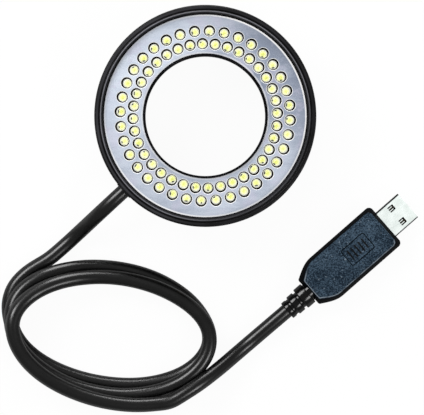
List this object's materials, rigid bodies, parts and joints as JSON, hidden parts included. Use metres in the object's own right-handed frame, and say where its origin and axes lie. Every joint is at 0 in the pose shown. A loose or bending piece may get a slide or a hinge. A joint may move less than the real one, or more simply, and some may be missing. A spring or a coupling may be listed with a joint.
{
  "type": "microscope ring light",
  "caption": "Ring light that clamps round a microscope objective: lamps behind a silver plate in a black turned ring, thumb screws in its collar, and a lead with a flat power plug.",
  "frame": {"origin": "centre of the mounting bore on the rear face of the collar, which the ring lies on", "axes": "+Z along the bore, out of the lamps; +Y up and +X right in the view that faces the lamps"},
  "size_m": [0.1604, 0.1559, 0.0282],
  "materials": {
    "black_anodised": "black anodised, satin",
    "silver_plate": "brushed silver",
    "lamp_lens": "clear lens over yellow phosphor",
    "lamp_board": "solder mask",
    "resistor": "matt",
    "brass": "turned",
    "screw_steel": "plain",
    "nylon": "moulded",
    "rubber": "moulded",
    "cord_jacket": "extruded, semi-gloss",
    "wire_red": "insulation",
    "wire_black": "insulation",
    "plug_cover": "fine texture",
    "plug_shell": "nickel plated",
    "insulator": "moulded",
    "contact_gold": "gold plated"
  },
  "bodies": {
    "ring_light": {"rear_cover": "black_anodised", "outer_housing": "black_anodised", "bore_sleeve": "black_anodised", "reflector_plate": "silver_plate", "inner_row_leds": "lamp_lens", "outer_row_leds": "lamp_lens", "led_board": "lamp_board", "cable_bush": "rubber", "cable_tie": "nylon", "red_wire": "wire_red", "black_wire": "wire_black", "cable_lead": "cord_jacket", "cable_coil": "cord_jacket", "cable_tail": "cord_jacket", "plug_cover": "plug_cover", "plug_strain_relief": "rubber", "plug_shell": "plug_shell", "plug_insulator": "insulator", "plug_red_wire": "wire_red", "plug_black_wire": "wire_black", "led_resistor_1": "resistor", "led_resistor_2": "resistor", "led_resistor_3": "resistor", "led_resistor_4": "resistor", "led_resistor_5": "resistor", "led_resistor_6": "resistor", "board_spacer_1": "brass", "board_screw_1": "screw_steel", "cover_screw_1": "screw_steel", "board_spacer_2": "brass", "board_screw_2": "screw_steel", "cover_screw_2": "screw_steel", "board_spacer_3": "brass", "board_screw_3": "screw_steel", "cover_screw_3": "screw_steel", "plug_contact_1": "contact_gold", "plug_contact_2": "contact_gold", "plug_contact_3": "contact_gold", "plug_contact_4": "contact_gold"},
    "tip_a": {"screw_tip_a": "nylon"},
    "screw_a": {"thumb_screw_a": "brass"},
    "tip_b": {"screw_tip_b": "nylon"},
    "screw_b": {"thumb_screw_b": "brass"},
    "tip_c": {"screw_tip_c": "nylon"},
    "screw_c": {"thumb_screw_c": "brass"}
  },
  "joints": [
    {"name": "clamp_slide_a", "type": "slide", "parent": "ring_light", "child": "tip_a", "axis": [-0.7373, -0.6756, 0], "range_m": [0, 0.004]},
    {"name": "clamp_turn_a", "type": "hinge", "parent": "tip_a", "child": "screw_a", "pos_m": [0.0278, 0.02547, 0.004], "axis": [-0.7373, -0.6756, 0], "range_deg": [0, 2058]},
    {"name": "clamp_slide_b", "type": "slide", "parent": "ring_light", "child": "tip_b", "axis": [0.9537, -0.3007, 0], "range_m": [0, 0.004]},
    {"name": "clamp_turn_b", "type": "hinge", "parent": "tip_b", "child": "screw_b", "pos_m": [-0.03596, 0.01134, 0.004], "axis": [0.9537, -0.3007, 0], "range_deg": [0, 2058]},
    {"name": "clamp_slide_c", "type": "slide", "parent": "ring_light", "child": "tip_c", "axis": [-0.2164, 0.9763, 0], "range_m": [0, 0.004]},
    {"name": "clamp_turn_c", "type": "hinge", "parent": "tip_c", "child": "screw_c", "pos_m": [0.00816, -0.03681, 0.004], "axis": [-0.2164, 0.9763, 0], "range_deg": [0, 2058]}
  ],
  "couplings": [
    {"joint": "clamp_turn_a", "follows": "clamp_slide_a", "rad_per_m": 8976},
    {"joint": "clamp_turn_b", "follows": "clamp_slide_b", "rad_per_m": 8976},
    {"joint": "clamp_turn_c", "follows": "clamp_slide_c", "rad_per_m": 8976}
  ]
}
